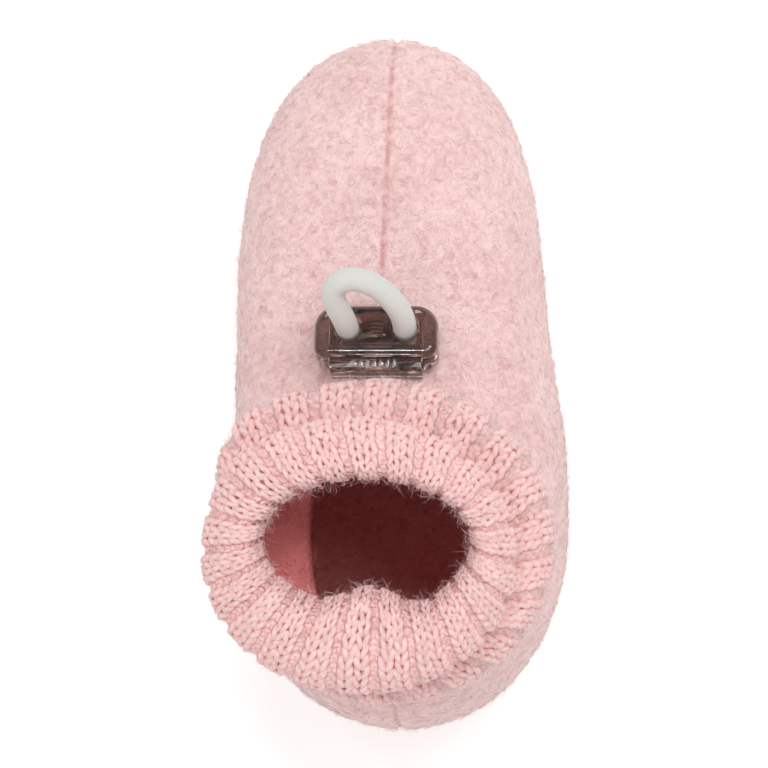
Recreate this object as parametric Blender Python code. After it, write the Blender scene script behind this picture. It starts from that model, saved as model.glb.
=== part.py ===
"""Baby slipper in boiled wool with a rib-knit cuff and a cord lock on an elastic loop.

Tables and sizes are in millimetres, meshes in metres. +Z is up, +Y points to the toe, and the origin
lies on the floor under the middle of the slipper.
"""
import math
from typing import NamedTuple

import bmesh
import bpy
import numpy as np
from mathutils import Matrix, Vector

MM = 0.001
GAP = 0.3

# Driving sizes of the slipper.
LENGTH = 130.0
WIDTH = 62.4
INSTEP_HEIGHT = 54.0
SIDE_HEIGHT = 51.0
HEEL_HEIGHT = 50.0
AXIS_OFFSET = 0.8
TOE_SWING = 2.4
SWING_FROM = -22.0
SWING_TO = 25.0
WAIST = 0.064
WAIST_TO = 18.0

# Upper: a wall of boiled wool, sewn along the toe and the heel.
UPPER_WALL = 2.8
UPPER_COLUMNS = 56
UPPER_ROWS = 15
SEAM_DEPTH = 0.9
SEAM_WIDTH = 1.5
SEAM_STEP = 0.042

# Sole and insole.
SOLE_THICK = 3.0
SOLE_LIP = 0.5
SOLE_EDGE = 1.4
TOE_SPRING = 2.4
SPRING_FROM = 32.0
ARCH_RISE = 0.6
ARCH_BACK = -24.0
ARCH_FRONT = 4.0
INSOLE_THICK = 1.8
INSOLE_CLEAR = 0.6

# Cuff: a knitted wall with raised ribs.
CUFF_WALL = 2.8
CUFF_INNER_ROWS = 8
RIB_COUNT = 22
RIB_DEPTH = 1.3
RIB_PROFILE = (0.0, 1.0, 1.0)
MOUTH_DENT = 2.2
MOUTH_DENT_WIDTH = 7.0
SLOUCH_TURN = math.radians(140.0)
SLOUCH_SPREAD = math.radians(23.0)

# Cord lock and its elastic cord.
LOCK_WIDTH = 22.6
LOCK_LENGTH = 10.4
LOCK_BACK = -5.9
LOCK_THICK = 8.0
LOCK_CORNER = 4.2
LOCK_BACK_CORNER = 2.6
LOCK_EDGE = 1.6
LOCK_SHIFT = -0.8
LOCK_Y = 7.2
LOCK_STAND = 0.9
LOCK_TURN = math.radians(21.0)
HOLE_SPACING = 10.4
HOLE_DIAMETER = 5.0
POCKET_WIDTH = 17.2
POCKET_HEIGHT = 4.4
POCKET_DEPTH = 9.0
PLUNGER_CLEAR = 0.3
PLUNGER_OUT = 1.6
PLUNGER_TRAVEL = 1.4
PAD_LENGTH = 2.4
PAD_HEIGHT = 6.0
NOTCH_WIDTH = 4.0
NOTCH_DEPTH = 3.0
SPRING_DIAMETER = 3.2
SPRING_WIRE = 0.5
SPRING_TURNS = 5
CORD_DIAMETER = 4.3
CORD_STEP = 2.0


class Ring(NamedTuple):
    """One level of the upper, as shares of the half length, the half width and the collar heights."""

    front: float
    back: float
    half: float
    rise_front: float
    rise_side: float
    rise_back: float
    toe_power: float
    heel_power: float
    wide_at: float
    lean: float


class Roll(NamedTuple):
    """One level of the cuff: half width and depth, middle, lean, height over the collar, dent and slouch."""

    half: float
    depth: float
    middle: float
    lean: float
    rise: float
    dent: float
    slouch: float


UPPER_LEVELS = (
    # front  back   half   rise: front side  back  power: toe heel  wide_at  lean
    Ring(0.890, 0.925, 0.890, 0.000, 0.000, 0.000, 4.60, 2.45, -22.0, 0.0),
    Ring(0.974, 0.978, 0.968, 0.120, 0.130, 0.130, 4.60, 2.45, -22.0, 0.0),
    Ring(1.000, 1.000, 1.000, 0.290, 0.330, 0.340, 4.60, 2.45, -22.0, 0.0),
    Ring(0.945, 0.984, 0.985, 0.500, 0.530, 0.550, 3.70, 2.40, -22.5, 0.0),
    Ring(0.800, 0.955, 0.955, 0.650, 0.690, 0.710, 2.70, 2.35, -23.5, 0.0),
    Ring(0.585, 0.925, 0.920, 0.735, 0.795, 0.810, 2.25, 2.30, -24.5, 0.2),
    Ring(0.310, 0.890, 0.870, 0.815, 0.880, 0.890, 2.05, 2.20, -26.0, 0.8),
    Ring(0.120, 0.855, 0.800, 0.895, 0.945, 0.950, 2.00, 2.10, -27.0, 2.2),
    Ring(-0.015, 0.830, 0.700, 1.000, 1.000, 1.000, 2.00, 2.00, -27.5, 4.5),
)

CUFF_LEVELS = (
    # half  depth  middle  lean  rise  dent  slouch
    Roll(21.8, 26.5, -27.5, 4.5, 0.0, 0.0, 0.0),
    Roll(27.2, 28.6, -28.0, 1.6, 2.4, 0.0, 1.8),
    Roll(30.8, 29.6, -28.5, -0.4, 7.2, 0.0, 4.0),
    Roll(29.4, 28.0, -29.0, -1.2, 11.6, 0.0, 4.2),
    Roll(23.8, 21.4, -31.8, -2.6, 14.4, 0.0, 2.4),
    Roll(27.4, 24.4, -30.8, -3.8, 18.0, 0.0, 1.6),
    Roll(28.2, 24.8, -30.6, -4.5, 21.6, 0.1, 1.4),
    Roll(26.2, 22.0, -30.2, -4.2, 25.2, 0.3, 0.8),
    Roll(22.8, 16.7, -29.7, -3.5, 27.4, 0.7, 0.0),
    Roll(19.8, 12.95, -28.85, -3.1, 26.6, 1.0, 0.0),
    Roll(18.3, 10.95, -28.05, -2.9, 23.0, 1.0, 0.0),
)

# Cord route over the lock: across, along the lock towards the toe, and up from its middle.
CORD_ROUTE = (
    (-5.2, 0.0, -4.4),
    (-5.2, 0.0, -1.5),
    (-5.2, 0.0, 1.4),
    (-5.3, 0.1, 4.2),
    (-5.8, 0.7, 6.8),
    (-6.6, 1.6, 9.2),
    (-7.2, 2.7, 11.4),
    (-6.9, 3.8, 13.3),
    (-5.4, 4.5, 14.7),
    (-3.2, 4.7, 15.1),
    (-0.9, 4.3, 14.5),
    (1.2, 3.6, 13.2),
    (2.9, 2.6, 11.4),
    (4.2, 1.6, 9.2),
    (5.0, 0.7, 6.7),
    (5.2, 0.1, 4.2),
    (5.2, 0.0, 1.4),
    (5.2, 0.0, -1.5),
    (5.2, 0.0, -4.4),
)


def smooth(value):
    """Ease a share from 0 to 1."""
    held = min(1.0, max(0.0, value))
    return held * held * (3.0 - 2.0 * held)


def axis_x(y):
    """Sideways place of the centre line, which swings a little at the toe."""
    return AXIS_OFFSET - TOE_SWING * smooth((y - SWING_FROM) / (SWING_TO - SWING_FROM))


def waist(y):
    """Share of the width that is left in front of the heel."""
    return 1.0 - WAIST * smooth((y - SWING_FROM) / (WAIST_TO - SWING_FROM))


def toe_lift(y):
    """Rise of the sole at the toe."""
    reach = max(0.0, (y - SPRING_FROM) / (0.5 * LENGTH - SPRING_FROM))
    return TOE_SPRING * reach * reach


def through(rows, share):
    """Read a table at a share of its height, on a smooth curve through its rows."""
    place = share * (len(rows) - 1)
    index = min(int(place), len(rows) - 2)
    step = place - index
    before = np.array(rows[max(index - 1, 0)])
    start = np.array(rows[index])
    end = np.array(rows[index + 1])
    after = np.array(rows[min(index + 2, len(rows) - 1)])
    slope_in = 0.5 * (end - before)
    slope_out = 0.5 * (after - start)
    square = step * step
    cube = square * step
    return (
        (2.0 * cube - 3.0 * square + 1.0) * start
        + (cube - 2.0 * square + step) * slope_in
        + (3.0 * square - 2.0 * cube) * end
        + (cube - square) * slope_out
    )


def plan_point(turn, front, back, half, toe_power, heel_power, wide_at):
    """Point of a foot-shaped outline: turn 0 is the right side, a quarter turn is the toe."""
    along = math.sin(turn)
    if along >= 0.0:
        y = wide_at + (front - wide_at) * along ** (2.0 / toe_power)
    else:
        y = wide_at - (wide_at - back) * (-along) ** (2.0 / heel_power)
    return axis_x(y) + half * waist(y) * math.cos(turn), y


def upper_point(turn, share):
    """Point on the outer face of the upper, before the seams are drawn in."""
    ring = Ring(*through(UPPER_LEVELS, share))
    front = ring.front * 0.5 * LENGTH
    back = -ring.back * 0.5 * LENGTH
    half = ring.half * 0.5 * WIDTH
    x, y = plan_point(turn, front, back, half, ring.toe_power, ring.heel_power, ring.wide_at)
    x += ring.lean * math.cos(turn) ** 2
    along = math.sin(turn)
    seat = SOLE_THICK + GAP
    side = ring.rise_side * (SIDE_HEIGHT - seat)
    if along >= 0.0:
        end = ring.rise_front * (INSTEP_HEIGHT - seat)
    else:
        end = ring.rise_back * (HEEL_HEIGHT - seat)
    lift = toe_lift(y) * (1.0 - smooth(share * 2.0))
    return x, y, seat + side + (end - side) * along * along + lift


def upper_turns():
    """Turns of the upper's columns: even steps along the sole edge, closer at the two seams."""
    fine = [2.0 * math.pi * index / 2000 for index in range(2001)]
    line = [Vector(upper_point(turn, 0.25)) for turn in fine]
    run = [0.0]
    for start, end in zip(line, line[1:]):
        run.append(run[-1] + (end - start).length)
    wanted = [run[-1] * (index + 0.5) / UPPER_COLUMNS for index in range(UPPER_COLUMNS)]
    turns = list(np.interp(wanted, run, fine))
    for seam in (0.5 * math.pi, 1.5 * math.pi):
        turns = [turn for turn in turns if abs(turn - seam) > 2.4 * SEAM_STEP]
        turns += [seam + step * SEAM_STEP for step in (-2, -1, 0, 1, 2)]
    return sorted(turns)


def face_normals(grid):
    """Outward normals of a grid of rings."""
    around = np.roll(grid, -1, axis=1) - np.roll(grid, 1, axis=1)
    up = np.gradient(grid, axis=0)
    normal = np.cross(around, up)
    return normal / np.linalg.norm(normal, axis=2, keepdims=True)


def flattened(normal, keep):
    """Normals with their height scaled row by row, so that the rims of a wall stay level."""
    level = normal.copy()
    level[:, :, 2] *= keep[:, None]
    return level / np.linalg.norm(level, axis=2, keepdims=True)


def material(name, colour, roughness, metallic=0.0, alpha=1.0):
    """Principled material of one piece."""
    made = bpy.data.materials.new(name)
    made.use_nodes = True
    shader = made.node_tree.nodes["Principled BSDF"]
    shader.inputs["Base Color"].default_value = (*colour, 1.0)
    shader.inputs["Roughness"].default_value = roughness
    shader.inputs["Metallic"].default_value = metallic
    shader.inputs["Alpha"].default_value = alpha
    return made


def add_object(name, mesh, look):
    """Place a mesh in the scene with its material."""
    thing = bpy.data.objects.new(name, mesh)
    mesh.materials.append(look)
    bpy.context.scene.collection.objects.link(thing)
    return thing


def finish_mesh(name, shape):
    """Turn a bmesh into a mesh with its faces outwards."""
    bmesh.ops.recalc_face_normals(shape, faces=shape.faces)
    mesh = bpy.data.meshes.new(name)
    shape.to_mesh(mesh)
    shape.free()
    return mesh


def ring_faces(shape, lower, upper):
    """Join two rings of corners with a band of faces."""
    count = len(lower)
    for index in range(count):
        after = (index + 1) % count
        shape.faces.new((lower[index], lower[after], upper[after], upper[index]))


def hollow_wall(name, rings, look):
    """Closed wall from rings that run up the outside, over the rim and down the inside."""
    shape = bmesh.new()
    rows = [[shape.verts.new(Vector(point) * MM) for point in ring] for ring in rings]
    for index, row in enumerate(rows):
        ring_faces(shape, row, rows[(index + 1) % len(rows)])
    return add_object(name, finish_mesh(name, shape), look)


def build_upper(look):
    """One hollow wall of boiled wool, open at the collar and underneath."""
    turns = upper_turns()
    shares = [index / (UPPER_ROWS - 1) for index in range(UPPER_ROWS)]
    grid = np.array([[upper_point(turn, share) for turn in turns] for share in shares])
    normal = face_normals(grid)
    keep = np.array([smooth(share * 7.0) * smooth((1.0 - share) * 7.0) for share in shares])
    normal = flattened(normal, keep)
    across = np.array([[0.5 * WIDTH * math.cos(turn) for turn in turns]])
    trough = SEAM_DEPTH * np.exp(-((across / SEAM_WIDTH) ** 2))
    outer = grid - normal * trough[:, :, None]
    inner = grid - normal * UPPER_WALL
    return hollow_wall("upper", list(outer) + list(inner[::-1]), look)


def edge_line(inset, turns):
    """Outline of the upper's lower edge, drawn in by an inset."""
    share_front = UPPER_LEVELS[0].front * 0.5 * LENGTH - inset
    share_back = -UPPER_LEVELS[0].back * 0.5 * LENGTH + inset
    half = UPPER_LEVELS[0].half * 0.5 * WIDTH - inset
    foot = UPPER_LEVELS[0]
    powers = (foot.toe_power, foot.heel_power, foot.wide_at)
    return [plan_point(turn, share_front, share_back, half, *powers) for turn in turns]


def slab(name, layers, turns, look):
    """Flat foot-shaped piece from (inset, height function) layers, closed with strips across."""
    shape = bmesh.new()
    rows = []
    for inset, height in layers:
        line = edge_line(inset, turns)
        rows.append([shape.verts.new(Vector((x, y, height(y))) * MM) for x, y in line])
    for lower, upper in zip(rows, rows[1:]):
        ring_faces(shape, lower, upper)
    count = len(turns)
    half = count // 2
    for row in (rows[0], rows[-1]):
        for index in range(half // 2 - 1):
            shape.faces.new((row[index], row[index + 1], row[half - 2 - index], row[half - 1 - index]))
        for index in range(half, half + half // 2 - 1):
            mirror = half + count - 1 - index
            shape.faces.new((row[index], row[index + 1], row[mirror - 1], row[mirror]))
        shape.faces.new((row[0], row[half - 1], row[half], row[count - 1]))
    return add_object(name, finish_mesh(name, shape), look)


def slab_turns(count):
    """Mirrored turns for a slab: even steps along the outline with no column on its axis."""
    fine = [math.pi * index / 2000 for index in range(2001)]
    turns = []
    for base in (0.0, math.pi):
        line = edge_line(0.0, [base + turn for turn in fine])
        run = [0.0]
        for start, end in zip(line, line[1:]):
            run.append(run[-1] + math.dist(start, end))
        half = count // 4
        wanted = [run[1000] * (index + 0.5) / half for index in range(half)]
        quarter = list(np.interp(wanted, run, fine))
        turns += [base + turn for turn in quarter]
        turns += [base + math.pi - turn for turn in reversed(quarter)]
    return turns


def under(y):
    """Underside of the sole: flat at heel and forefoot, raised at the arch and the toe."""
    share = (y - ARCH_BACK) / (ARCH_FRONT - ARCH_BACK)
    arch = 0.0
    if 0.0 < share < 1.0:
        arch = ARCH_RISE * math.sin(math.pi * share) ** 2
    return arch + toe_lift(y)


def build_sole(look):
    """Felt sole with a rounded lower edge."""
    turns = slab_turns(64)
    layers = (
        (SOLE_EDGE - SOLE_LIP, under),
        (0.3 - SOLE_LIP, lambda y: under(y) + 0.5),
        (-SOLE_LIP, lambda y: under(y) + SOLE_EDGE),
        (-SOLE_LIP, lambda y: SOLE_THICK - 0.5 + toe_lift(y)),
        (0.5 - SOLE_LIP, lambda y: SOLE_THICK + toe_lift(y)),
    )
    return slab("sole", layers, turns, look)


def build_insole(look):
    """Thin felt layer on the sole, inside the upper."""
    turns = slab_turns(48)
    inset = UPPER_WALL + INSOLE_CLEAR
    base = SOLE_THICK + GAP
    layers = (
        (inset, lambda y: base + toe_lift(y)),
        (inset, lambda y: base + INSOLE_THICK - 0.5 + toe_lift(y)),
        (inset + 0.5, lambda y: base + INSOLE_THICK + toe_lift(y)),
    )
    return slab("insole", layers, turns, look)


def cuff_point(turn, share):
    """Point on the envelope of the cuff's ribs."""
    roll = Roll(*through(CUFF_LEVELS, share))
    along = math.sin(turn)
    y = roll.middle + roll.depth * along
    lean = roll.lean * (1.0 - along * along * (1.0 - smooth(share * 10.0)))
    x = axis_x(y) + lean + roll.half * waist(y) * math.cos(turn)
    end = INSTEP_HEIGHT if along >= 0.0 else HEEL_HEIGHT
    seat = SIDE_HEIGHT + (end - SIDE_HEIGHT) * along * along
    if along < 0.0:
        aside = (x - axis_x(y) - lean) / MOUTH_DENT_WIDTH
        y += MOUTH_DENT * roll.dent * math.exp(-aside * aside)
    spread = (turn - SLOUCH_TURN) / SLOUCH_SPREAD
    push = roll.slouch * math.exp(-spread * spread)
    return x + push * math.cos(turn), y + push * along, seat + GAP + roll.rise


def build_cuff(look):
    """Rib-knit tube with two soft rolls, a mouth that turns inwards and raised ribs on its outside."""
    steps = len(RIB_PROFILE)
    count = RIB_COUNT * steps
    turns = [2.0 * math.pi * index / count for index in range(count)]
    halves = 2 * (len(CUFF_LEVELS) - 1)
    shares = [0.0] + [index / halves for index in range(2, halves - 1)] + [1.0]
    grid = np.array([[cuff_point(turn, share) for turn in turns] for share in shares])
    keep = np.array([smooth(share * 8.0) for share in shares])
    normal = flattened(face_normals(grid), keep)
    groove = np.array([RIB_DEPTH * (1.0 - RIB_PROFILE[index % steps]) for index in range(count)])
    calm = np.array([smooth(share * 6.0) * smooth((1.0 - share) * 5.0) for share in shares])
    outer = grid - normal * (calm[:, None] * groove[None, :])[:, :, None]
    inner = grid - normal * CUFF_WALL
    rim = []
    top = grid[-1] - normal[-1] * 0.5 * CUFF_WALL
    ahead = grid[-1] - grid[-2]
    ahead -= normal[-1] * np.sum(ahead * normal[-1], axis=1, keepdims=True)
    ahead /= np.linalg.norm(ahead, axis=1, keepdims=True)
    for bend in (math.radians(50.0), math.radians(90.0), math.radians(130.0)):
        swing = normal[-1] * math.cos(bend) + ahead * math.sin(bend)
        rim.append(top + 0.5 * CUFF_WALL * swing)
    picks = np.linspace(len(shares) - 1, 0, CUFF_INNER_ROWS).round().astype(int)
    rings = list(outer) + rim + [inner[index] for index in picks]
    return hollow_wall("cuff", rings, look)


def lock_frame():
    """Place of the lock on the vamp: its middle, with axes across, towards the toe and out of the wool."""
    low = 0.4
    high = 1.0
    for _ in range(60):
        share = 0.5 * (low + high)
        if upper_point(0.5 * math.pi, share)[1] > LOCK_Y:
            low = share
        else:
            high = share
    spot = Vector(upper_point(0.5 * math.pi, low)) + Vector((LOCK_SHIFT, 0.0, 0.0))
    tilt = Matrix.Rotation(-LOCK_TURN, 4, "X")
    out = tilt.to_3x3() @ Vector((0.0, 0.0, 1.0))
    return Matrix.Translation(spot + out * (LOCK_STAND + 0.5 * LOCK_THICK)) @ tilt


def lock_outline(inset, steps):
    """Outline of the lock, drawn in by an inset: large corners towards the toe, small ones towards the heel."""
    points = []
    ends = ((1, LOCK_BACK + LOCK_LENGTH), (-1, LOCK_BACK + LOCK_LENGTH), (-1, LOCK_BACK), (1, LOCK_BACK))
    for quarter, (side, end) in enumerate(ends):
        corner = LOCK_CORNER if quarter < 2 else LOCK_BACK_CORNER
        inward = -corner if quarter < 2 else corner
        for step in range(steps + 1):
            turn = 0.5 * math.pi * (quarter + step / steps)
            x = side * (0.5 * LOCK_WIDTH - corner) + (corner - inset) * math.cos(turn)
            y = end + inward + (corner - inset) * math.sin(turn)
            points.append((x, y))
    return points


def lock_pillow(name, steps):
    """Block with the lock's outline and rounded upper and lower edges."""
    shape = bmesh.new()
    rows = []
    half = 0.5 * LOCK_THICK
    bends = [0.5 * math.pi * step / 3 for step in range(4)]
    levels = [(LOCK_EDGE * (1.0 - math.sin(bend)), -half + LOCK_EDGE * (1.0 - math.cos(bend))) for bend in bends]
    levels += [(inset, -height) for inset, height in reversed(levels)]
    for inset, height in levels:
        rows.append([shape.verts.new(Vector((x, y, height)) * MM) for x, y in lock_outline(inset, steps)])
    for lower, upper in zip(rows, rows[1:]):
        ring_faces(shape, lower, upper)
    shape.faces.new(rows[0])
    shape.faces.new(rows[-1])
    return finish_mesh(name, shape)


def block(name, low, high):
    """Plain box between two corners."""
    shape = bmesh.new()
    bmesh.ops.create_cube(shape, size=1.0)
    size = Vector(high) - Vector(low)
    middle = 0.5 * (Vector(high) + Vector(low))
    bmesh.ops.transform(shape, matrix=Matrix.Diagonal((*(size * MM), 1.0)), verts=shape.verts)
    bmesh.ops.translate(shape, vec=middle * MM, verts=shape.verts)
    return finish_mesh(name, shape)


def pocket_profile(back, step, front, tall, low):
    """Side profile of a stepped slab: tall behind the step and low in front of it."""
    return (
        (back, -tall),
        (step, -tall),
        (step, -low),
        (front, -low),
        (front, low),
        (step, low),
        (step, tall),
        (back, tall),
    )


def prism(name, profile, half):
    """Side profile drawn out to both sides."""
    shape = bmesh.new()
    left = [shape.verts.new(Vector((-half, y, z)) * MM) for y, z in profile]
    right = [shape.verts.new(Vector((half, y, z)) * MM) for y, z in profile]
    ring_faces(shape, left, right)
    shape.faces.new(left)
    shape.faces.new(right)
    return finish_mesh(name, shape)


def slot(name, x, back, front, diameter, height):
    """Upright cutter with round ends, longer along the lock than across."""
    shape = bmesh.new()
    rows = []
    line = []
    for step in range(9):
        turn = math.pi * step / 8
        line.append((x + 0.5 * diameter * math.cos(turn), front + 0.5 * diameter * math.sin(turn)))
    for step in range(9):
        turn = math.pi * (1.0 + step / 8)
        line.append((x + 0.5 * diameter * math.cos(turn), back + 0.5 * diameter * math.sin(turn)))
    for level in (-0.5 * height, 0.5 * height):
        rows.append([shape.verts.new(Vector((px, py, level)) * MM) for px, py in line])
    ring_faces(shape, rows[0], rows[1])
    shape.faces.new(rows[0])
    shape.faces.new(rows[1])
    bmesh.ops.remove_doubles(shape, verts=shape.verts, dist=0.00001)
    return finish_mesh(name, shape)


def cut(target, name, mesh, frame):
    """Take a cutter's shape away from a piece."""
    cutter = bpy.data.objects.new(name, mesh)
    cutter.matrix_world = frame
    cutter.hide_render = True
    cutter.display_type = "WIRE"
    bpy.context.scene.collection.objects.link(cutter)
    change = target.modifiers.new(name, "BOOLEAN")
    change.operation = "DIFFERENCE"
    change.solver = "EXACT"
    change.object = cutter


def build_lock_body(frame, look):
    """Moulded body with a stepped pocket open to the heel and two cord holes."""
    body = add_object("lock_body", lock_pillow("lock_body", 6), look)
    body.matrix_world = frame
    pad_room = PAD_LENGTH - PLUNGER_OUT + PLUNGER_TRAVEL + PLUNGER_CLEAR
    profile = pocket_profile(LOCK_BACK - 1.0, LOCK_BACK + pad_room, LOCK_BACK + POCKET_DEPTH,
                             0.5 * PAD_HEIGHT + PLUNGER_CLEAR, 0.5 * POCKET_HEIGHT)
    cut(body, "pocket_cutter", prism("pocket_cutter", profile, 0.5 * POCKET_WIDTH), frame)
    for side, x in (("left", -0.5 * HOLE_SPACING), ("right", 0.5 * HOLE_SPACING)):
        name = "body_hole_" + side
        cut(body, name, slot(name, x, 0.0, 0.0, HOLE_DIAMETER, 2.0 * LOCK_THICK), frame)
    return body


def build_lock_plunger(frame, look):
    """Press button: a tongue in the pocket, a thicker pad, two cord slots and a notch for the spring."""
    front = LOCK_BACK + POCKET_DEPTH - PLUNGER_TRAVEL - PLUNGER_CLEAR
    pad_back = LOCK_BACK - PLUNGER_OUT
    profile = pocket_profile(pad_back, pad_back + PAD_LENGTH, front,
                             0.5 * PAD_HEIGHT, 0.5 * POCKET_HEIGHT - PLUNGER_CLEAR)
    mesh = prism("lock_plunger", profile, 0.5 * POCKET_WIDTH - PLUNGER_CLEAR)
    plunger = add_object("lock_plunger", mesh, look)
    plunger.matrix_world = frame
    for side, x in (("left", -0.5 * HOLE_SPACING), ("right", 0.5 * HOLE_SPACING)):
        name = "plunger_slot_" + side
        cut(plunger, name, slot(name, x, -PLUNGER_TRAVEL, 0.0, HOLE_DIAMETER, 2.0 * LOCK_THICK), frame)
    low = (-0.5 * NOTCH_WIDTH, front - NOTCH_DEPTH, -LOCK_THICK)
    high = (0.5 * NOTCH_WIDTH, front + 1.0, LOCK_THICK)
    cut(plunger, "notch_cutter", block("notch_cutter", low, high), frame)
    return plunger


def tube_along(name, points, diameter, detail, look):
    """Round cord or wire along a line of points, with closed ends."""
    curve = bpy.data.curves.new(name, "CURVE")
    curve.dimensions = "3D"
    curve.bevel_depth = 0.5 * diameter * MM
    curve.bevel_resolution = detail
    curve.use_fill_caps = True
    line = curve.splines.new("POLY")
    line.points.add(len(points) - 1)
    for spot, point in zip(line.points, points):
        spot.co = (*(Vector(point) * MM), 1.0)
    thing = bpy.data.objects.new(name, curve)
    curve.materials.append(look)
    bpy.context.scene.collection.objects.link(thing)
    return thing


def build_lock_spring(frame, look):
    """Coil spring between the pocket's end and the notch of the plunger."""
    front = LOCK_BACK + POCKET_DEPTH
    start = front - PLUNGER_TRAVEL - PLUNGER_CLEAR - NOTCH_DEPTH + 0.5 * SPRING_WIRE + 0.1
    end = front - 0.5 * SPRING_WIRE - 0.1
    radius = 0.5 * (SPRING_DIAMETER - SPRING_WIRE)
    count = SPRING_TURNS * 10
    points = []
    for index in range(count + 1):
        turn = 2.0 * math.pi * index / 10
        y = start + (end - start) * index / count
        points.append((radius * math.cos(turn), y, radius * math.sin(turn)))
    spring = tube_along("lock_spring", points, SPRING_WIRE, 1, look)
    spring.matrix_world = frame
    return spring


def cord_points():
    """Even points on a smooth curve through the cord's route."""
    spans = len(CORD_ROUTE) - 1
    fine = [Vector(through(CORD_ROUTE, index / (40 * spans))) for index in range(40 * spans + 1)]
    run = [0.0]
    for start, end in zip(fine, fine[1:]):
        run.append(run[-1] + (end - start).length)
    count = int(round(run[-1] / CORD_STEP))
    wanted = [run[-1] * index / count for index in range(count + 1)]
    return [tuple(np.interp(at, run, [point[axis] for point in fine]) for axis in range(3)) for at in wanted]


def build_cord(frame, look):
    """Elastic cord: up through one hole of the lock, over in a loop and down through the other."""
    cord = tube_along("cord_loop", cord_points(), CORD_DIAMETER, 2, look)
    cord.matrix_world = frame
    return cord


def build_slipper():
    """All pieces of the slipper."""
    wool = material("boiled_wool_pink", (0.88, 0.60, 0.59), 0.95)
    knit = material("rib_knit_pink", (0.82, 0.52, 0.51), 0.95)
    felt = material("sole_felt_pink", (0.78, 0.50, 0.49), 0.95)
    lining = material("insole_felt_pink", (0.70, 0.40, 0.39), 0.95)
    smoke = material("smoke_plastic", (0.16, 0.11, 0.10), 0.15, alpha=0.6)
    button = material("smoke_plastic_button", (0.20, 0.13, 0.12), 0.18, alpha=0.7)
    steel = material("spring_steel", (0.62, 0.61, 0.60), 0.3, metallic=1.0)
    elastic = material("elastic_cord_white", (0.74, 0.72, 0.68), 0.8)
    build_sole(felt)
    build_insole(lining)
    build_upper(wool)
    build_cuff(knit)
    frame = lock_frame()
    placed = frame.copy()
    placed.translation *= MM
    build_lock_body(placed, smoke)
    build_lock_plunger(placed, button)
    build_lock_spring(placed, steel)
    build_cord(placed, elastic)


for stale in list(bpy.data.objects):
    bpy.data.objects.remove(stale, do_unlink=True)
build_slipper()
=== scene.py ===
import math

import bmesh
import bpy
import numpy as np
from mathutils import Matrix, Vector, noise


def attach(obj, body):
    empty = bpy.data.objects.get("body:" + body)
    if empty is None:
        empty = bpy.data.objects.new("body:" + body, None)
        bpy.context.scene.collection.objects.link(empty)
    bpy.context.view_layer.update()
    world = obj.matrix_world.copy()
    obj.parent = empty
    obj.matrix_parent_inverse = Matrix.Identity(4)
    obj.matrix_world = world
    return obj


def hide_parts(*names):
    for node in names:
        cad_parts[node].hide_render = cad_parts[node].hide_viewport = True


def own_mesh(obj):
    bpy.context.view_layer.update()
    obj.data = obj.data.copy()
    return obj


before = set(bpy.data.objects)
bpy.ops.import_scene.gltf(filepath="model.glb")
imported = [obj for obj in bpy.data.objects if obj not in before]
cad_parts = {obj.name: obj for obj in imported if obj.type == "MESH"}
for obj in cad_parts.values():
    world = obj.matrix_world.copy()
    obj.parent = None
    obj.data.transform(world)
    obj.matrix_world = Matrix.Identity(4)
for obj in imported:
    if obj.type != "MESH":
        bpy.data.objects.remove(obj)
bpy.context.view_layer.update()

MM = 0.001
BODY = "slipper"
BUTTON = "plunger"

# Sizes of the slipper in millimetres, the same as in its solids.
GAP = 0.3
LENGTH = 130.0
WIDTH = 62.4
INSTEP_HEIGHT = 54.0
SIDE_HEIGHT = 51.0
HEEL_HEIGHT = 50.0
AXIS_OFFSET = 0.8
TOE_SWING = 2.4
SWING_FROM = -22.0
SWING_TO = 25.0
WAIST = 0.064
WAIST_TO = 18.0
UPPER_WALL = 2.8
SOLE_THICK = 3.0
SOLE_LIP = 0.5
SOLE_EDGE = 1.4
TOE_SPRING = 2.4
SPRING_FROM = 32.0
ARCH_RISE = 0.6
ARCH_BACK = -24.0
ARCH_FRONT = 4.0
INSOLE_THICK = 1.8
INSOLE_CLEAR = 0.6
CUFF_WALL = 2.8
RIB_COUNT = 22
MOUTH_DENT = 2.2
MOUTH_DENT_WIDTH = 7.0
SLOUCH_TURN = math.radians(140.0)
SLOUCH_SPREAD = math.radians(23.0)
LOCK_WIDTH = 22.6
LOCK_LENGTH = 10.4
LOCK_BACK = -5.9
LOCK_THICK = 8.0
LOCK_CORNER = 4.2
LOCK_BACK_CORNER = 2.6
LOCK_EDGE = 1.6
LOCK_SHIFT = -0.8
LOCK_Y = 7.2
LOCK_STAND = 0.9
LOCK_TURN = math.radians(21.0)
HOLE_SPACING = 10.4
HOLE_DIAMETER = 5.0
POCKET_WIDTH = 17.2
POCKET_HEIGHT = 4.4
POCKET_DEPTH = 9.0
PLUNGER_CLEAR = 0.3
PLUNGER_OUT = 1.6
PLUNGER_TRAVEL = 1.4
PAD_LENGTH = 2.4
PAD_HEIGHT = 6.0
NOTCH_WIDTH = 4.0
NOTCH_DEPTH = 3.0
SPRING_DIAMETER = 3.2
SPRING_WIRE = 0.5
SPRING_TURNS = 5
SPRING_CLEAR = 0.1
CORD_DIAMETER = 4.3
POCKET_END = LOCK_BACK + POCKET_DEPTH
BUTTON_FRONT = POCKET_END - PLUNGER_TRAVEL - PLUNGER_CLEAR
HOLE_PLACES = (-0.5 * HOLE_SPACING, 0.5 * HOLE_SPACING)

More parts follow.
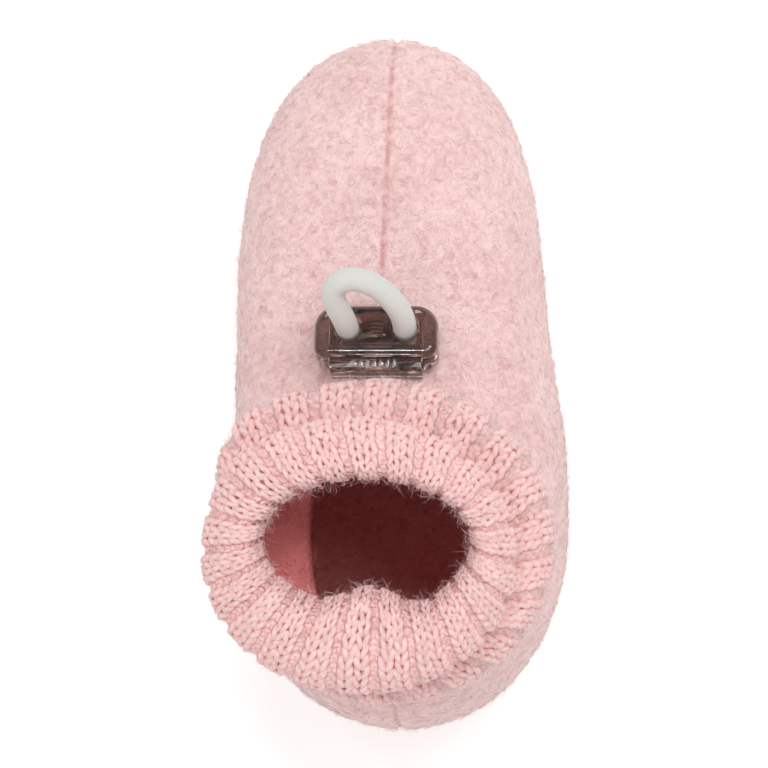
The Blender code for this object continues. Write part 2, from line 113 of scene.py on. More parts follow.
# Fine form of the lock that its solids leave out, and steps round the lock, the spring and the cord.
GRIP_REACH = 3.6
GRIP_PITCH = 1.2
GRIP_WIDTH = 0.5
GRIP_LENGTH = 1.5
GRIP_DEPTH = 0.35
HOLE_FLARE = 0.3
HOLE_SPARE = 0.4
CUT_SPARE = 1.0
EDGE_BEVEL = 0.14
CORNER_STEPS = 12
EDGE_STEPS = 6
SPRING_STEPS = 28
SPRING_SIDES = 10
CORD_RINGS = 150
CORD_SIDES = 30

# Levels of the upper: front, back and half width as shares, rises at front, side and back,
# powers of the toe and heel curves, widest y and lean.
UPPER_LEVELS = np.array((
    (0.890, 0.925, 0.890, 0.000, 0.000, 0.000, 4.60, 2.45, -22.0, 0.0),
    (0.974, 0.978, 0.968, 0.120, 0.130, 0.130, 4.60, 2.45, -22.0, 0.0),
    (1.000, 1.000, 1.000, 0.290, 0.330, 0.340, 4.60, 2.45, -22.0, 0.0),
    (0.945, 0.984, 0.985, 0.500, 0.530, 0.550, 3.70, 2.40, -22.5, 0.0),
    (0.800, 0.955, 0.955, 0.650, 0.690, 0.710, 2.70, 2.35, -23.5, 0.0),
    (0.585, 0.925, 0.920, 0.735, 0.795, 0.810, 2.25, 2.30, -24.5, 0.2),
    (0.310, 0.890, 0.870, 0.815, 0.880, 0.890, 2.05, 2.20, -26.0, 0.8),
    (0.120, 0.855, 0.800, 0.895, 0.945, 0.950, 2.00, 2.10, -27.0, 2.2),
    (-0.015, 0.830, 0.700, 1.000, 1.000, 1.000, 2.00, 2.00, -27.5, 4.5),
))

# Levels of the cuff: half width, half depth, middle, lean, rise over the collar, dent, slouch.
CUFF_LEVELS = np.array((
    (21.8, 26.5, -27.5, 4.5, 0.0, 0.0, 0.0),
    (27.2, 28.6, -28.0, 1.6, 2.4, 0.0, 1.8),
    (30.8, 29.6, -28.5, -0.4, 7.2, 0.0, 4.0),
    (29.4, 28.0, -29.0, -1.2, 11.6, 0.0, 4.2),
    (23.8, 21.4, -31.8, -2.6, 14.4, 0.0, 2.4),
    (27.4, 24.4, -30.8, -3.8, 18.0, 0.0, 1.6),
    (28.2, 24.8, -30.6, -4.5, 21.6, 0.1, 1.4),
    (26.2, 22.0, -30.2, -4.2, 25.2, 0.3, 0.8),
    (22.8, 16.7, -29.7, -3.5, 27.4, 0.7, 0.0),
    (19.8, 12.95, -28.85, -3.1, 26.6, 1.0, 0.0),
    (18.3, 10.95, -28.05, -2.9, 23.0, 1.0, 0.0),
))

# Soft waves in the heel side of the knitted mouth: place across, half width and height.
MOUTH_WAVES = ((0.8, 4.6, 1.1), (10.5, 4.2, -1.8), (-8.5, 4.0, -0.6))

# Cord route over the lock: across, along the lock towards the toe, and up from its middle.
CORD_ROUTE = np.array((
    (-5.2, 0.0, -4.4),
    (-5.2, 0.0, -1.5),
    (-5.2, 0.0, 1.4),
    (-5.3, 0.1, 4.2),
    (-5.8, 0.7, 6.8),
    (-6.6, 1.6, 9.2),
    (-7.2, 2.7, 11.4),
    (-6.9, 3.8, 13.3),
    (-5.4, 4.5, 14.7),
    (-3.2, 4.7, 15.1),
    (-0.9, 4.3, 14.5),
    (1.2, 3.6, 13.2),
    (2.9, 2.6, 11.4),
    (4.2, 1.6, 9.2),
    (5.0, 0.7, 6.7),
    (5.2, 0.1, 4.2),
    (5.2, 0.0, 1.4),
    (5.2, 0.0, -1.5),
    (5.2, 0.0, -4.4),
))

# Soft creases of the upper: degrees and share of the middle, half length, half width, depth, slant.
CREASES = (
    (38.0, 0.88, 8.0, 1.3, 0.4, 0.5),
    (142.0, 0.88, 8.0, 1.3, 0.4, -0.5),
    (20.0, 0.76, 11.0, 1.8, 0.3, 0.35),
    (160.0, 0.78, 11.0, 1.8, 0.3, -0.35),
    (62.0, 0.90, 6.0, 1.1, 0.35, 0.9),
    (118.0, 0.90, 6.0, 1.1, 0.35, -0.9),
    (235.0, 0.84, 8.0, 1.6, 0.3, 0.3),
    (312.0, 0.82, 8.0, 1.6, 0.3, -0.3),
)
CREASE_BANK = 0.55
CREASE_BANK_PLACE = 2.2

# Seams of the upper, and lumps of its felt: size, seed and height.
SEAM_DRIFT = 1.2
OFF_SEAM = 9.0
GROOVE_DEPTH = 0.4
GROOVE_WIDTH = 0.7
BANK_HEIGHT = 0.2
BANK_PLACE = 2.2
BANK_WIDTH = 1.5
FELT_LUMPS = ((24.0, 3, 0.32), (8.0, 5, 0.16), (2.3, 8, 0.21), (1.3, 13, 0.15))

# Meshes of the wool, crowded at its seams, of the lining, with depth and lumps of its faces, and of the felt.
UPPER_COLUMNS = 430
UPPER_ROWS = 172
UPPER_INNER_ROWS = 20
SEAM_CROWD = 2.2
SEAM_CROWD_TURN = 0.11
LINING_COLUMNS = 176
LINING_ROWS = 52
LINING_FACES = ((1.3, 0.12), (2.95, 0.1))
SLAB_COLUMNS = 160
SLAB_RINGS = 14
SLAB_HUB = 34.0
SLAB_LUMPS = 0.12

# Knit: course height, how far it runs round the lip, and the wales of a rib with their side of the fabric.
COURSE_HEIGHT = 2.2
KNIT_INSIDE = -1.5
KNIT_COLUMNS = RIB_COUNT * 24
KNIT_ROWS = 320
KNIT_MARKS = (0.0, 0.4, 0.7, 1.0)
WALES = ((0.0, 0.36, 1.0), (0.36, 0.72, 1.0), (0.72, 1.0, -1.0))
STITCH_SWAY = 0.22
STITCH_REACH = 0.80
STITCH_STEPS = 16
STITCH_SHIFT = 0.02
STITCH_RISE = 0.06
WALE_SINK = 0.35
EASED_COURSES = 3.0
YARN_SIDES = 6
YARN_SHARE = 0.093
YARN_RADII = (0.36, 0.70)
YARN_VARIES = 0.06
YARN_SWING = 0.7
YARN_TWIST = 2.4

# Loose fibres: how deep their roots sit, how much they curl, and how many lie on the wool and the collar.
FIBRE_ROOT = 0.08
FIBRE_CURL = 2.6
FIBRE_TAPER = (1.0, 0.85)
FIBRE_SIDES = 3
WOOL_FIBRES = 9000
WOOL_LOOSE = 0.35
KNIT_LOOSE = 0.55
COLLAR_FIBRES = 700
COLLAR_ROWS = 4

# Fuzz of the knit: piece, share of the courses from and to, count, longest, tallest, chance on raised wales.
KNIT_FUZZ = (
    ("knit_fibres", 0.0, 1.0, 5700, 2.0, 1.0, 1.0),
    ("roll_fibres", 0.0, 0.42, 10000, 2.8, 1.9, 0.25),
    ("mouth_fibres", 0.72, 1.0, 2500, 3.8, 2.4, 1.0),
)

# Camera and studio in metres; lamps have a name, a place, a width and a power in watts.
CAMERA_LEAN = math.radians(4.0)
CAMERA_REACH = 0.882
VIEW_WIDTH = 0.14545
VIEW_MIDDLE = Vector((-2.89, 0.0, 18.0)) * MM
LAMP_AIM = Vector((0.0, 0.0, 0.03))
LAMPS = (
    ("key", (0.22, 0.30, 0.80), 0.4, 2.3),
    ("fill", (-0.15, -0.60, 0.70), 0.5, 0.75),
    ("glint_toe", (-0.05, 0.24, 0.80), 0.07, 0.6),
    ("glint_heel", (-0.05, -0.42, 0.72), 0.06, 0.4),
    ("glint_right", (0.30, 0.42, 0.70), 0.06, 0.25),
    ("glint_left", (-0.34, 0.30, 0.75), 0.06, 0.25),
)
WHITE = (1.0, 1.0, 1.0, 1.0)
SKY_STRENGTH = 0.52
FLOOR_GLOW = 0.3
FLOOR_HALF = 4.0

rng = np.random.default_rng(7)


def smooth(value):
    """Ease a share from 0 to 1."""
    held = np.clip(value, 0.0, 1.0)
    return held * held * (3.0 - 2.0 * held)


def bell(value):
    """Bell curve that is one at zero."""
    return np.exp(-(value * value))


def axis_x(y):
    """Sideways place of the centre line."""
    return AXIS_OFFSET - TOE_SWING * smooth((y - SWING_FROM) / (SWING_TO - SWING_FROM))


def waist(y):
    """Share of the width that is left in front of the heel."""
    return 1.0 - WAIST * smooth((y - SWING_FROM) / (WAIST_TO - SWING_FROM))


def toe_lift(y):
    """Rise of the sole at the toe."""
    reach = np.maximum(0.0, (y - SPRING_FROM) / (0.5 * LENGTH - SPRING_FROM))
    return TOE_SPRING * reach * reach


def through(rows, shares):
    """Read a table at shares of its height, on smooth curves through its rows."""
    place = np.atleast_1d(np.asarray(shares, float)) * (len(rows) - 1)
    index = np.minimum(place.astype(int), len(rows) - 2)
    step = (place - index)[:, None]
    before = rows[np.maximum(index - 1, 0)]
    start = rows[index]
    end = rows[index + 1]
    after = rows[np.minimum(index + 2, len(rows) - 1)]
    square = 2.0 * before - 5.0 * start + 4.0 * end - after
    cube = 3.0 * (start - end) + after - before
    return start + 0.5 * step * (end - before + step * (square + step * cube))


def foot_y(front, back, toe, heel, wide, along):
    """Place along the foot on an outline of a toe and a heel curve, from the sine of a turn."""
    ahead = np.maximum(along, 0.0) ** (2.0 / toe)
    behind = np.maximum(-along, 0.0) ** (2.0 / heel)
    return wide + (front - wide) * ahead - (wide - back) * behind


def upper_grid(turns, shares):
    """Points of the upper's outer face, rows by columns."""
    levels = through(UPPER_LEVELS, shares).T[:, :, None]
    front, back, half, rise_front, rise_side, rise_back, toe, heel, wide, lean = levels
    along = np.sin(turns)
    across = np.cos(turns)
    y = foot_y(front * 0.5 * LENGTH, -back * 0.5 * LENGTH, toe, heel, wide, along)
    x = axis_x(y) + half * 0.5 * WIDTH * waist(y) * across + lean * across * across
    seat = SOLE_THICK + GAP
    side = rise_side * (SIDE_HEIGHT - seat)
    end = np.where(along >= 0.0, rise_front * (INSTEP_HEIGHT - seat), rise_back * (HEEL_HEIGHT - seat))
    lift = toe_lift(y) * (1.0 - smooth(np.asarray(shares)[:, None] * 2.0))
    z = seat + side + (end - side) * along * along + lift
    return np.stack((x, y, z), axis=2)


def cuff_grid(turns, shares):
    """Points of the envelope of the cuff's ribs, rows by columns."""
    half, depth, middle, lean, rise, dent, slouch = through(CUFF_LEVELS, shares).T[:, :, None]
    along = np.sin(turns)
    across = np.cos(turns)
    y = middle + depth * along
    lean = lean * (1.0 - along * along * (1.0 - smooth(np.asarray(shares)[:, None] * 10.0)))
    x = axis_x(y) + lean + half * waist(y) * across
    end = np.where(along >= 0.0, INSTEP_HEIGHT, HEEL_HEIGHT)
    seat = SIDE_HEIGHT + (end - SIDE_HEIGHT) * along * along
    aside = x - axis_x(y) - lean
    wave = np.where(along < 0.0, MOUTH_DENT * bell(aside / MOUTH_DENT_WIDTH), 0.0)
    for spot, wide, high in MOUTH_WAVES:
        wave = wave + high * np.maximum(-along, 0.0) * bell((aside - spot) / wide)
    y = y + dent * wave
    push = slouch * bell((turns - SLOUCH_TURN) / SLOUCH_SPREAD)
    return np.stack((x + push * across, y + push * along, seat + GAP + rise), axis=2)


def unit(vectors):
    """Vectors scaled to length one."""
    return vectors / np.maximum(np.linalg.norm(vectors, axis=-1, keepdims=True), 1e-9)


def face_normals(grid):
    """Outward normals of a grid of closed rings."""
    around = np.roll(grid, -1, axis=1) - np.roll(grid, 1, axis=1)
    return unit(np.cross(around, np.gradient(grid, axis=0)))


def even_turns(count):
    """Even steps round a circle."""
    return math.tau * np.arange(count) / count


def flattened(normal, keep):
    """Normals with their height scaled row by row, so that rims stay level."""
    level = normal.copy()
    level[:, :, 2] *= keep[:, None]
    return unit(level)


def run_along(line):
    """Length from the start of a line to each of its points."""
    step = np.linalg.norm(np.diff(line, axis=0), axis=-1)
    return np.concatenate((np.zeros((1, *step.shape[1:])), np.cumsum(step, axis=0)))


def lumps(points, size, seed):
    """Smooth noise from -1 to 1 at points, with features of a size in millimetres."""
    shift = Vector((seed * 17.3, seed * 5.1, seed * 9.7))
    flat = points.reshape(-1, 3) / size
    values = np.array([noise.noise(Vector(point) + shift) for point in flat])
    return values.reshape(points.shape[:-1])


def new_mesh(name, points, faces):
    """Smooth mesh from an array of points in millimetres and the corners of its faces."""
    mesh = bpy.data.meshes.new(name)
    mesh.from_pydata(points * MM, [], faces, shade_flat=False)
    mesh.validate()
    return mesh


def add_object(name, data):
    """Put a mesh, a lamp or a camera in the scene."""
    thing = bpy.data.objects.new(name, data)
    bpy.context.scene.collection.objects.link(thing)
    return thing


def band_faces(rows, columns, closed):
    """Faces between closed rings; closed joins the last ring to the first as well."""
    count = rows if closed else rows - 1
    row = np.arange(count)[:, None]
    col = np.arange(columns)[None, :]
    above = (row + 1) % rows
    after = (col + 1) % columns
    corners = (row * columns + col, row * columns + after, above * columns + after, above * columns + col)
    return np.stack(np.broadcast_arrays(*corners), axis=2).reshape(-1, 4)


def set_uv(mesh, name, first, second):
    """Store two numbers for each corner of a mesh, for its material to read."""
    layer = mesh.uv_layers.new(name=name)
    layer.data.foreach_set("uv", np.stack((first, second), axis=-1).astype(np.float32).ravel())


def place(name, mesh, look, body, replaced, slot):
    """Put a mesh in the scene as a piece that rides on a body."""
    piece = add_object(name, mesh)
    mesh.materials.clear()
    mesh.materials.append(look)
    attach(piece, body)
    if replaced:
        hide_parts(*replaced)
    return piece


def new_look(name):
    """New node material, its tree, its shader and the object's own coordinates."""
    look = bpy.data.materials.new(name)
    look.use_nodes = True
    tree = look.node_tree
    return look, tree, tree.nodes["Principled BSDF"], tree.nodes.new("ShaderNodeTexCoord").outputs["Object"]


def set_inputs(node, values):
    """Set inputs of a shader node by their names."""
    for key, value in values.items():
        node.inputs[key].default_value = value


def add_node(tree, kind, values=(), **settings):
    """Add a shader node with settings and input values."""
    made = tree.nodes.new(kind)
    for key, value in settings.items():
        setattr(made, key, value)
    set_inputs(made, dict(values))
    return made


def maths(tree, operation, first, second=None):
    """Maths node on sockets or numbers."""
    made = tree.nodes.new("ShaderNodeMath")
    made.operation = operation
    for socket, value in zip(made.inputs, (first, second)):
        if isinstance(value, (int, float)):
            socket.default_value = value
        elif value is not None:
            tree.links.new(value, socket)
    return made.outputs[0]


def scaled_sum(tree, *parts):
    """Sum of sockets, each with its own weight."""
    total = None
    for socket, weight in parts:
        part = maths(tree, "MULTIPLY", socket, weight)
        total = part if total is None else maths(tree, "ADD", total, part)
    return total


def ranged(tree, value, low, high, to_low, to_high):
    """Map a value from one range to another with a smooth step."""
    made = add_node(tree, "ShaderNodeMapRange", {
        "From Min": low, "From Max": high, "To Min": to_low, "To Max": to_high,
    }, interpolation_type="SMOOTHSTEP")
    tree.links.new(value, made.inputs["Value"])
    return made.outputs["Result"]


def blended(tree, share, first, second):
    """Colour between two colours or colour sockets."""
    made = add_node(tree, "ShaderNodeMix", data_type="RGBA")
    tree.links.new(share, made.inputs["Factor"])
    for key, value in (("A", first), ("B", second)):
        socket = [item for item in made.inputs if item.name == key and item.type == "RGBA"][0]
        if isinstance(value, tuple):
            socket.default_value = (*value, 1.0)
        else:
            tree.links.new(value, socket)
    return [item for item in made.outputs if item.type == "RGBA"][0]


def noise_value(tree, spot, scale, detail=2.0, distortion=0.0, rough=0.5):
    """Noise at a scale in features per metre."""
    made = add_node(tree, "ShaderNodeTexNoise", {
        "Scale": scale, "Detail": detail, "Roughness": rough, "Distortion": distortion,
    })
    tree.links.new(spot, made.inputs["Vector"])
    return made.outputs["Fac"]


def curls(tree, spot, scale, width, offset):
    """Thin curly lines, like single fibres on felt."""
    moved = add_node(tree, "ShaderNodeVectorMath", operation="ADD")
    tree.links.new(spot, moved.inputs[0])
    moved.inputs[1].default_value = (offset, 0.7 * offset, 0.3 * offset)
    value = noise_value(tree, moved.outputs[0], scale, 1.0, 0.8)
    away = maths(tree, "ABSOLUTE", maths(tree, "SUBTRACT", value, 0.5))
    return ranged(tree, away, 0.0, width, 1.0, 0.0)


def stored(tree, name):
    """The two numbers that a mesh keeps in a layer."""
    parts = tree.nodes.new("ShaderNodeSeparateXYZ")
    tree.links.new(add_node(tree, "ShaderNodeUVMap", uv_map=name).outputs["UV"], parts.inputs[0])
    return parts.outputs["X"], parts.outputs["Y"]


def raise_surface(tree, shader, height, strength, distance):
    """Fine relief from a height."""
    lift = add_node(tree, "ShaderNodeBump", {"Strength": strength, "Distance": distance})
    tree.links.new(height, lift.inputs["Height"])
    tree.links.new(lift.outputs["Normal"], shader.inputs["Normal"])


def soften(shader, sheen):
    """Matt surface with the sheen of wool."""
    set_inputs(shader, {
        "Roughness": 0.95, "Specular IOR Level": 0.1, "Sheen Weight": sheen, "Sheen Roughness": 0.5,
        "Sheen Tint": (1.0, 0.94, 0.93, 1.0),
    })


def wool_look(name, dark, light, thread, bump=0.4, sheen=0.12, inner=None):
    """Boiled wool with curly fibres and pits, the pits darkened with painted shade, and on walls a seam line
    and painted shade that turns the inner face and collar rim redder.
    """
    look, tree, shader, spot = new_look(name)
    patches = noise_value(tree, spot, 70.0, 3.0)
    mottle = noise_value(tree, spot, 640.0, 4.0, 0.6, 0.65)
    pits = ranged(tree, noise_value(tree, spot, 470.0, 2.0, 0.3), 0.30, 0.40, 1.0, 0.0)
    fibres = curls(tree, spot, 430.0, 0.03, 0.0)
    for scale, width, offset in ((520.0, 0.026, 3.1), (640.0, 0.024, 7.7)):
        fibres = maths(tree, "MAXIMUM", fibres, curls(tree, spot, scale, width, offset))
    tone = scaled_sum(tree, (mottle, 0.75), (patches, 0.25))
    colour = blended(tree, ranged(tree, tone, 0.34, 0.64, 0.0, 1.0), dark, light)
    colour = blended(tree, maths(tree, "MULTIPLY", fibres, 0.4), colour, thread)
    # deep is a darker, redder wool: in the pits it is painted shade where the bump sinks them, and below it
    # also colours the seam line.
    deep = tuple(value * share for value, share in zip(dark, (0.86, 0.72, 0.72)))
    colour = blended(tree, maths(tree, "MULTIPLY", pits, 0.5), colour, deep)
    # Painted shade: where the stored inside share rises, the colour goes to the inner colour, a deep red that
    # stands in for the shade and red bounce light inside the slipper.
    if inner:
        off, inside = stored(tree, "seam")
        broken = ranged(tree, noise_value(tree, spot, 520.0, 3.0), 0.40, 0.60, 0.3, 1.0)
        near = ranged(tree, maths(tree, "ABSOLUTE", off), 0.1, 0.8, 1.0, 0.0)
        line = maths(tree, "MULTIPLY", near, broken)
        colour = blended(tree, inside, blended(tree, line, colour, deep), inner)
    tree.links.new(colour, shader.inputs["Base Color"])
    raise_surface(tree, shader, scaled_sum(tree, (mottle, 1.0), (fibres, 0.45), (pits, -0.5)), bump, 0.0005)
    soften(shader, sheen)
    return look


def yarn_look(name, dark, light, sheen=0.02):
    """Soft spun yarn: twist along its length, loose fibres, a mottled colour and painted shade on the sides
    of the yarn that face into the knit.
    """
    look, tree, shader, spot = new_look(name)
    along, around = stored(tree, "yarn")
    wave = maths(tree, "SINE", maths(tree, "MULTIPLY", maths(tree, "ADD", along, around), 2.0 * math.tau))
    mottle = noise_value(tree, spot, 900.0, 4.0, 0.8, 0.65)
    fibres = maths(tree, "MAXIMUM", curls(tree, spot, 450.0, 0.03, 1.3), curls(tree, spot, 620.0, 0.026, 5.9))
    tone = maths(tree, "ADD", mottle, maths(tree, "MULTIPLY", wave, 0.05))
    colour = blended(tree, ranged(tree, tone, 0.32, 0.66, 0.0, 1.0), dark, light)
    colour = blended(tree, maths(tree, "MULTIPLY", fibres, 0.3), colour, light)
    # Painted shade: the sides of the yarn that turn away from the outside of the knit take a darker, redder
    # colour, like the shade in its crevices.
    outward = maths(tree, "SINE", maths(tree, "MULTIPLY", around, math.tau))
    deep = tuple(value * share for value, share in zip(dark, (0.96, 0.72, 0.71)))
    colour = blended(tree, ranged(tree, outward, -0.2, 0.85, 0.9, 0.0), colour, deep)
    tree.links.new(colour, shader.inputs["Base Color"])
    raise_surface(tree, shader, scaled_sum(tree, (wave, 0.16), (mottle, 1.0), (fibres, 0.3)), 0.4, 0.0004)
    soften(shader, sheen)
    return look


def fibre_look(name, dark, light):
    """Single loose wool fibres."""
    look, tree, shader, spot = new_look(name)
    tone = ranged(tree, noise_value(tree, spot, 260.0, 2.0), 0.35, 0.65, 0.0, 1.0)
    tree.links.new(blended(tree, tone, dark, light), shader.inputs["Base Color"])
    soften(shader, 0.1)
    return look


def plastic_look(name, tint, roughness):
    """Smoke-tinted clear plastic with faint scuffs."""
    look, tree, shader, spot = new_look(name)
    scuff = noise_value(tree, spot, 700.0, 4.0, 1.5, 0.7)
    tree.links.new(ranged(tree, scuff, 0.4, 0.75, roughness, roughness + 0.08), shader.inputs["Roughness"])
    cloud = noise_value(tree, spot, 160.0, 2.0)
    lighter = tuple(min(1.0, 1.12 * value) for value in tint)
    tree.links.new(blended(tree, cloud, tint, lighter), shader.inputs["Base Color"])
    set_inputs(shader, {"Transmission Weight": 1.0, "IOR": 1.52})
    raise_surface(tree, shader, cloud, 0.06, 0.0003)
    return look


def metal_look(name, tint):
    """Drawn spring wire."""
    look, tree, shader, spot = new_look(name)
    tone = noise_value(tree, spot, 900.0, 3.0)
    tree.links.new(ranged(tree, tone, 0.3, 0.7, 0.16, 0.34), shader.inputs["Roughness"])
    darker = tuple(0.8 * value for value in tint)
    tree.links.new(blended(tree, tone, darker, tint), shader.inputs["Base Color"])
    shader.inputs["Metallic"].default_value = 0.6
    return look


def cord_look(name, dark, light):
    """Knitted elastic cord: very fine slanted stitches in columns along its length."""
    look, tree, shader, spot = new_look(name)
    along, around = stored(tree, "yarn")
    inside = maths(tree, "FRACT", maths(tree, "MULTIPLY", around, 30.0))
    fold = maths(tree, "ABSOLUTE", maths(tree, "SUBTRACT", inside, 0.5))
    row = scaled_sum(tree, (along, 2.7), (fold, 1.1))
    stitch = maths(tree, "ABSOLUTE", maths(tree, "SINE", maths(tree, "MULTIPLY", row, math.pi)))
    ridge = maths(tree, "MULTIPLY", stitch, ranged(tree, fold, 0.36, 0.5, 1.0, 0.3))
    fluff = noise_value(tree, spot, 1500.0, 3.0, 0.6)
    height = scaled_sum(tree, (ridge, 1.0), (fluff, 0.5))
    # Painted shade: the colour darkens from the stitch ridges down into the grooves between them.
    tone = ranged(tree, height, 0.2, 1.2, 0.0, 1.0)
    tree.links.new(blended(tree, tone, dark, light), shader.inputs["Base Color"])
    raise_surface(tree, shader, height, 0.2, 0.0001)
    soften(shader, 0.1)
    return look


def make_camera():
    """Camera almost straight above, leaning to the right side of the slipper."""
    data = bpy.data.cameras.new("camera")
    data.lens = data.sensor_width * CAMERA_REACH / VIEW_WIDTH
    data.clip_start = 0.01
    data.clip_end = 20.0
    camera = add_object("camera", data)
    away = Matrix.Translation((0.0, 0.0, CAMERA_REACH))
    camera.matrix_world = Matrix.Translation(VIEW_MIDDLE) @ Matrix.Rotation(CAMERA_LEAN, 4, "Y") @ away
    bpy.context.scene.camera = camera


def add_light(name, spot, size, power):
    """Soft square light that faces the slipper."""
    data = bpy.data.lights.new(name, "AREA")
    data.size = size
    data.energy = power
    lamp = add_object(name, data)
    lamp.location = spot
    lamp.rotation_euler = (LAMP_AIM - Vector(spot)).to_track_quat("-Z", "Y").to_euler()


def make_studio():
    """Pale floor, soft light from above and small lamps for glints."""
    scene = bpy.context.scene
    scene.view_settings.view_transform = "Standard"
    world = bpy.data.worlds.new("studio")
    world.use_nodes = True
    set_inputs(world.node_tree.nodes["Background"], {"Color": WHITE, "Strength": SKY_STRENGTH})
    scene.world = world
    for lamp in LAMPS:
        add_light(*lamp)
    data = bpy.data.meshes.new("floor")
    corners = [(x * FLOOR_HALF, y * FLOOR_HALF, 0.0) for x, y in ((-1, -1), (1, -1), (1, 1), (-1, 1))]
    data.from_pydata(corners, [], [(0, 1, 2, 3)])
    look, _, shader, _ = new_look("pale_floor")
    set_inputs(shader, {
        "Base Color": (0.95, 0.95, 0.95, 1.0), "Roughness": 1.0,
        "Emission Color": WHITE, "Emission Strength": FLOOR_GLOW,
    })
    data.materials.append(look)
    add_object("floor", data)


def upper_turns(count):
    """Turns of the upper's columns: even steps along its side, closer at the two seams."""
    fine = np.linspace(0.0, math.tau, 4001)
    step = np.diff(run_along(upper_grid(fine, [0.25])[0]))
    middle = 0.5 * (fine[1:] + fine[:-1])
    for seam in (0.5 * math.pi, 1.5 * math.pi):
        step = step * (1.0 + SEAM_CROWD * bell((middle - seam) / SEAM_CROWD_TURN))
    run = np.concatenate(([0.0], np.cumsum(step)))
    return np.interp(run[-1] * (np.arange(count) + 0.5) / count, run, fine)


def seam_offset(grid):
    """Distance across from the seams; the toe seam drifts to the right near its end."""
    y = grid[:, :, 1]
    return grid[:, :, 0] - axis_x(y) - SEAM_DRIFT * smooth((y - 10.0) / 50.0)


def felt_relief(grid, shares):
    """Heights of seams, creases and lumps on the upper's outer face, in millimetres."""
    off = seam_offset(grid)
    uneven = 0.7 + 0.5 * lumps(grid, 4.0, 2)
    relief = BANK_HEIGHT * bell((np.abs(off) - BANK_PLACE) / BANK_WIDTH)
    relief -= GROOVE_DEPTH * uneven * bell(off / GROOVE_WIDTH)
    for size, seed, height in FELT_LUMPS:
        relief += height * lumps(grid, size, seed)
    for degrees, share, long, wide, depth, slant in CREASES:
        turn = np.radians([degrees])
        middle = upper_grid(turn, [share])[0, 0]
        around = unit(upper_grid(turn + 0.01, [share])[0, 0] - middle)
        up = upper_grid(turn, [share - 0.02])[0, 0] - middle
        up = unit(up - around * np.dot(up, around))
        away = grid - middle
        run = away @ (around * math.sin(slant) + up * math.cos(slant))
        beside = away @ (around * math.cos(slant) - up * math.sin(slant))
        fade = depth * bell(run / long)
        relief -= fade * bell(beside / wide)
        relief += CREASE_BANK * fade * bell((np.abs(beside) - CREASE_BANK_PLACE * wide) / wide)
    edge = smooth(shares * 25.0) * smooth((1.0 - shares) * 25.0)
    return relief * edge[:, None]


def make_wall(name, outer, inner, off, inside, look, replaced, slot):
    """Hollow wall from two faces; its places off a seam and rows of painted inner shade are stored."""
    rings = np.concatenate((outer, inner))
    faces = band_faces(len(rings), rings.shape[1], True)
    mesh = new_mesh(name, rings.reshape(-1, 3), faces)
    inside = np.repeat(inside, rings.shape[1])
    set_uv(mesh, "seam", off.ravel()[faces.ravel()], inside[faces.ravel()])
    place(name, mesh, look, BODY, replaced, slot)


def make_upper(look):
    """Wool body: one hollow wall, open at the collar and underneath."""
    turns = upper_turns(UPPER_COLUMNS)
    shares = np.linspace(0.0, 1.0, UPPER_ROWS)
    grid = upper_grid(turns, shares)
    keep = smooth(shares * 7.0) * smooth((1.0 - shares) * 7.0)
    normal = flattened(face_normals(grid), keep)
    outer = grid + normal * felt_relief(grid, shares)[:, :, None]
    picks = np.linspace(UPPER_ROWS - 1, 0, UPPER_INNER_ROWS).round().astype(int)
    inner = (grid - normal * UPPER_WALL)[picks]
    off = np.concatenate((seam_offset(grid), np.full(inner.shape[:2], OFF_SEAM)))
    # Painted shade: the top rows of the collar and the whole inner wall take the redder inner colour.
    inside = np.concatenate((smooth((shares - 0.985) / 0.015), np.ones(len(picks))))
    make_wall("wool_upper", outer, inner, off, inside, look, ["upper"], "boiled_wool")
    return outer


def fibres(name, spots, lengths, lifts, radius, look, slot):
    """Loose fibres: thin closed spindles that curl up from a surface."""
    starts, ups, around, beside = spots
    count = len(starts)
    turn = rng.uniform(0.0, math.tau, count)[:, None]
    headings = around * np.cos(turn) + beside * np.sin(turn)
    sides = np.cross(ups, headings)
    bends = rng.normal(0.0, FIBRE_CURL, count)
    share = np.linspace(0.0, 1.0, 4)
    line = np.empty((count, 4, 3))
    line[:, 0] = starts - ups * FIBRE_ROOT
    for step in range(1, 4):
        angle = bends * (share[step] - 0.5)
        way = headings * np.cos(angle)[:, None] + sides * np.sin(angle)[:, None]
        line[:, step] = line[:, step - 1] + way * (lengths / 3.0)[:, None]
    rise = lifts[0][:, None] * np.sin(math.pi * share) + lifts[1][:, None] * share ** 1.4
    line += ups[:, None, :] * rise[:, :, None]
    ahead = unit(np.gradient(line, axis=1))
    flat = unit(np.cross(ahead, ups[:, None, :]))
    tall = np.cross(flat, ahead)
    thick = (radius[:, None] * np.array(FIBRE_TAPER))[:, :, None, None]
    rings = round_skin(line[:, 1:3], flat[:, 1:3], tall[:, 1:3], thick, FIBRE_SIDES).reshape(count, -1, 3)
    points = np.concatenate((line[:, :1], rings, line[:, 3:]), axis=1)
    faces = []
    tip = 2 * FIBRE_SIDES + 1
    for side in range(FIBRE_SIDES):
        low = 1 + side
        beyond = 1 + (side + 1) % FIBRE_SIDES
        high = low + FIBRE_SIDES
        last = beyond + FIBRE_SIDES
        faces += [(0, beyond, low), (tip, high, last), (low, beyond, last), (low, last, high)]
    base = np.arange(count)[:, None, None] * (tip + 1)
    mesh = new_mesh(name, points.reshape(-1, 3), (np.array(faces) + base).reshape(-1, 3))
    place(name, mesh, look, BODY, (), slot)


